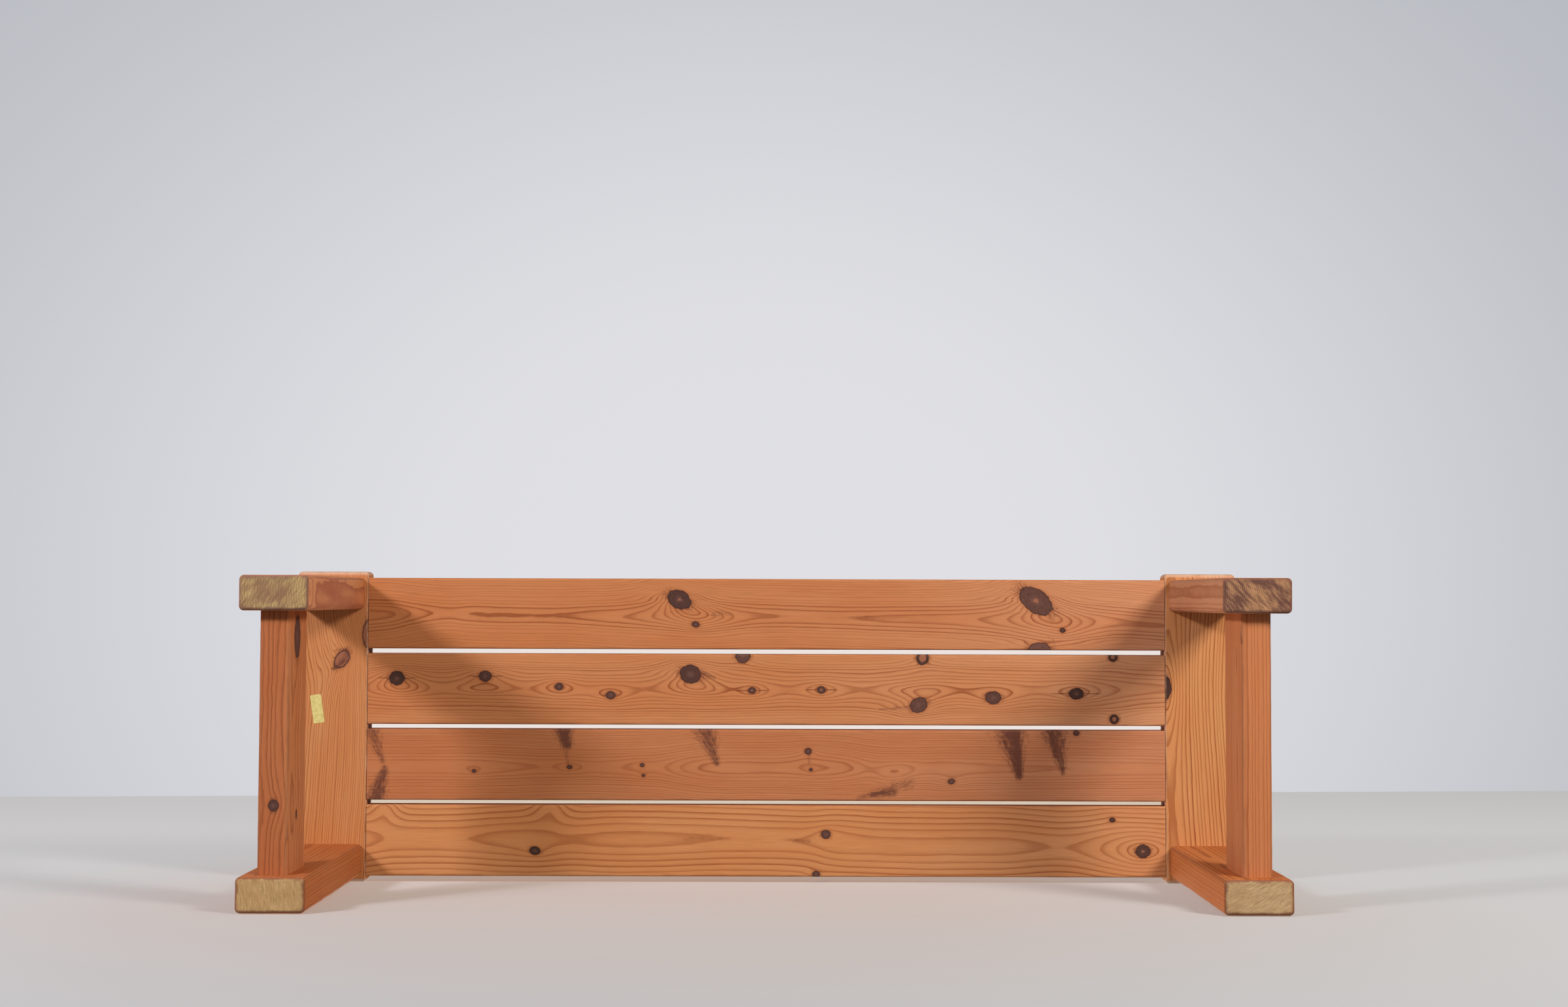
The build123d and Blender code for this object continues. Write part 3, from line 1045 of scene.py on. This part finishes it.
# Seen at the upper left, lower left, upper right and lower right of the photograph.
LEGS = (
    leg("left", "front",
        Look(early=(221, 151, 106), late=(176, 107, 82), contrast=0.9, waver=0.16,
             end_early=(200, 166, 112), end_late=(120, 84, 68), end_rings=0.5, end_dirt=0.7,
             end_slant=-60.0, rim=(118, 84, 76), fade=(0.86, 0.72, 0.56)),
        Rings(width=3.4, pith=-24.0, across=-60.0, uneven=0.0),
        swells=(
            Swell(seen(511, 907, X, LEFT_LEG_FACE), (80, 11), rise=0.32, turn=3, through=X),
            Swell(seen(548, 896, X, LEFT_LEG_FACE), (70, 8), rise=0.3, through=X),
            Swell(seen(474, 905, X, LEFT_LEG_FACE), (24, 22), rise=2.2, through=X),
        )),
    leg("left", "back",
        Look(early=(193, 115, 67), late=(143, 75, 42), contrast=0.8, end_early=(207, 167, 115),
             end_late=(158, 116, 72), end_rings=0.12, end_dirt=0.35, end_slant=80.0,
             rim=(124, 72, 54)),
        Rings(width=3.4, pith=60.0, across=20.0)),
    leg("right", "front",
        Look(early=(208, 142, 102), late=(162, 95, 63), end_early=(200, 148, 106),
             end_late=(86, 55, 54), end_rings=0.95, end_dirt=0.85, end_slant=48.0,
             rim=(96, 64, 60)),
        Rings(width=2.5, pith=-18.0, across=58.0, uneven=0.15)),
    leg("right", "back",
        Look(early=(200, 121, 69), late=(142, 73, 40), contrast=0.95, end_early=(210, 173, 127),
             end_late=(157, 114, 75), end_rings=0.12, end_dirt=0.4, end_slant=-30.0,
             rim=(122, 72, 56)),
        Rings(width=3.2, pith=50.0, across=30.0)),
)


# ---- floor, wall and light ----
FLOOR_RISE = 0.0206  # the floor it lies on falls away from the seat side by this slope
FLOOR_UNDER_FEET = 222.0
FLOOR_NEAR = -2500.0
FLOOR_END_LEFT, FLOOR_END_RIGHT = (100, 1218), (2300, 1210)  # pixels where the floor meets the wall
STAGE_HALF_WIDTH = 4500.0
WALL_HEIGHT = 4200.0
UPRIGHT_FLOOR_HALF = 7000.0


def seen_on_floor(x, y):
    """The point of the photograph's floor that shows at a pixel."""
    line = sight_line(x, y)
    normal = np.array([0.0, 1.0, -FLOOR_RISE])
    start = np.array([0.0, FLOOR_UNDER_FEET, 0.0])
    return CAMERA_PLACE + line * ((start - CAMERA_PLACE) @ normal) / (line @ normal)


def pale(name, colour=None, glow=None):
    """A stage surface that only the camera and reflections see, and only from its front.

    It has a colour that takes light and shadow, a glow of its own, or both.
    """
    tree = Tree(bpy.data.materials.new(name))
    parts = {}
    if glow:
        parts[0] = tree.add("ShaderNodeEmission", {"Color": glow(tree)})
    if colour:
        parts[1] = tree.add("ShaderNodeBsdfDiffuse", {"Color": colour})
    looked_at = tree.rays("Is Camera Ray", "Is Glossy Ray", "Is Transmission Ray")
    front = 1.0 - tree.add("ShaderNodeNewGeometry", output="Backfacing")
    clear = tree.add("ShaderNodeBsdfTransparent")
    surface = tree.add("ShaderNodeAddShader", parts)
    return tree.show(tree.add("ShaderNodeMixShader", {0: looked_at * front, 1: clear, 2: surface}))


def stage_plane(name, corners, material):
    mesh = bpy.data.meshes.new(name)
    mesh.from_pydata([tuple(np.array(corner) * TO_METRES) for corner in corners], [], [(0, 1, 2, 3)])
    mesh.materials.append(material)
    plane = bpy.data.objects.new(name, mesh)
    bpy.context.collection.objects.link(plane)


# painted light on the wall: brightest behind the bench, dimmer towards the upper corners
WALL_BRIGHT, WALL_DIM = linear(223, 223, 228), linear(184, 187, 193)
# painted warm bounce light from the wood
WALL_PAINTED_BOUNCE = linear(237, 227, 222)  # what shows between the slats takes up some of the wood's colour
WALL_MIDDLE = -0.25  # metres along Y, where it is brightest
WALL_SQUASH = math.sqrt(1.6)  # it dims faster upward than sideways


def behind_seat(place):
    """1 behind the seat, where the stage shows only between the slats, and 0 at its sides."""
    return abs(place[0]).between(1.05, 0.95)


def wall_glow(tree):
    """Painted light: brightest behind the bench, dimmer towards the upper corners, with painted warm
    bounce light from the wood where the wall shows between the slats.
    """
    place = tree.parts(tree.place())
    far = tree.distance(place[0], (place[1] - WALL_MIDDLE) * WALL_SQUASH)
    glow = tree.mix(far.between(0.5, 2.9), WALL_BRIGHT, WALL_DIM)
    return tree.mix(behind_seat(place) * place[1].between(-0.2, -0.12), glow, WALL_PAINTED_BOUNCE)


FLOOR_COLOUR = (0.385, 0.383, 0.384, 1.0)
# glow of painted light on the floor: none near the camera, the brightest far off
FLOOR_DARK, FLOOR_BRIGHT = (0.0, 0.0, 0.0, 1.0), (0.350, 0.340, 0.334, 1.0)
# painted warm bounce light from the wood, on the floor before the bench
FLOOR_PAINTED_BOUNCE = (1.0, 0.72, 0.56, 1.0)
# painted warm bounce light from the wood, on the floor behind the seat, which shows between the slats
FLOOR_BEHIND_PAINTED_BOUNCE = (0.456, 0.347, 0.225, 1.0)


def floor_glow(tree):
    """Painted light that stands in for what the studio's far walls lend the floor: more far off, warm
    painted bounce light from the wood before the bench, and more of it behind the seat, where the floor
    shows between the slats.
    """
    place = tree.parts(tree.place())
    glow = tree.mix(place[2].between(-2.1, 1.4), FLOOR_DARK, FLOOR_BRIGHT)
    reach = tree.distance(place[0] + 0.15, (place[2] + 0.1) * 1.2)
    glow = tree.mix(reach.between(1.35, 0.3), glow, tree.tint(glow, FLOOR_PAINTED_BOUNCE))
    return tree.mix(behind_seat(place) * place[2].between(1.6, 2.0), glow, FLOOR_BEHIND_PAINTED_BOUNCE)


UPRIGHT_FLOOR_COLOUR = linear(206, 203, 201)
# glow of painted light on the upright floor, far from the lamps
FAR_FLOOR = (0.40, 0.40, 0.40, 1.0)


def far_floor_glow(tree):
    """Painted light that keeps the floor pale where the lamps don't reach."""
    place = tree.parts(tree.place())
    reach = tree.distance(place[0], place[1])
    return tree.mix(reach.between(0.6, 4.5), FLOOR_DARK, FAR_FLOOR)


def make_stage():
    left, right = seen_on_floor(*FLOOR_END_LEFT), seen_on_floor(*FLOOR_END_RIGHT)
    way = (right - left) / np.linalg.norm(right - left)
    left, right = left - way * STAGE_HALF_WIDTH, right + way * STAGE_HALF_WIDTH
    near_height = FLOOR_UNDER_FEET + FLOOR_RISE * FLOOR_NEAR
    near = [np.array([corner[0], near_height, FLOOR_NEAR]) for corner in (left, right)]
    floor_in_photo = pale("floor_in_photo", FLOOR_COLOUR, floor_glow)
    stage_plane("floor_in_photo", [right, left, *near], floor_in_photo)
    up = np.array([0.0, -WALL_HEIGHT, 0.0])
    stage_plane("wall", [left, right, right + up, left + up], pale("wall", glow=wall_glow))
    half = UPRIGHT_FLOOR_HALF
    square = [(-half, -half, 0), (half, -half, 0), (half, half, 0), (-half, half, 0)]
    stage_plane("floor", square, pale("floor", UPRIGHT_FLOOR_COLOUR, far_floor_glow))


WORLD_COLOUR = (0.98, 0.985, 1.0, 1.0)
WORLD_SHOWN = 0.72
WORLD_LIGHT = 0.27


def make_world():
    """A pale surround that looks brighter than it lights."""
    world = bpy.data.worlds.new("studio")
    bpy.context.scene.world = world
    tree = Tree(world, "ShaderNodeOutputWorld")
    looked_at = tree.rays("Is Camera Ray", "Is Glossy Ray")
    strength = looked_at.between(0.0, 1.0, WORLD_LIGHT, WORLD_SHOWN)
    tree.show(tree.add("ShaderNodeBackground", {"Color": WORLD_COLOUR, "Strength": strength}))


def soft_light(name, place, target, size, power, tint=(1.0, 1.0, 1.0), mirrored=True):
    """A square lamp, in metres and watts."""
    light = bpy.data.lights.new(name, "AREA")
    light.shape = "SQUARE"
    light.size = size
    light.energy = power
    light.color = tint
    lamp = bpy.data.objects.new(name, light)
    lamp.location = place
    way = Vector(target) - Vector(place)
    lamp.rotation_euler = way.to_track_quat("-Z", "Y").to_euler()
    lamp.visible_glossy = mirrored
    bpy.context.collection.objects.link(lamp)


COOL, WARM = (1.0, 1.02, 1.12), (1.0, 0.98, 0.93)


def make_lights():
    """Keys on both sides of the seat's underside, and two lamps for the sides they leave dark."""
    soft_light("key_left", (-2.50, -1.60, -2.01), (0, 0, 0.25), 0.38, 58, COOL)
    soft_light("key_far_left", (-3.10, -1.80, -2.01), (0, 0, 0.25), 0.5, 32, COOL)
    soft_light("key_right", (2.30, -1.84, -2.01), (0, 0, 0.25), 0.85, 95, WARM)
    soft_light("top", (-0.3, 0.7, 3.3), (0, 0, 0.4), 1.6, 70, mirrored=False)
    soft_light("back", (-0.8, 3.0, 1.9), (0, 0, 0.3), 1.6, 60, mirrored=False)


make_camera()
make_world()
make_stage()
make_lights()
for board in (SLAT_1, SLAT_2, SLAT_3, SLAT_4, END_BOARD_LEFT, END_BOARD_RIGHT, *STRETCHERS, *LEGS):
    build(board)
for dowel_node in ("slat_dowels", "leg_dowels", "stretcher_dowels"):
    dress(dowel_node, beech())
dress("blank_label", aged_paper())

bpy.context.scene.view_settings.view_transform = "Standard"
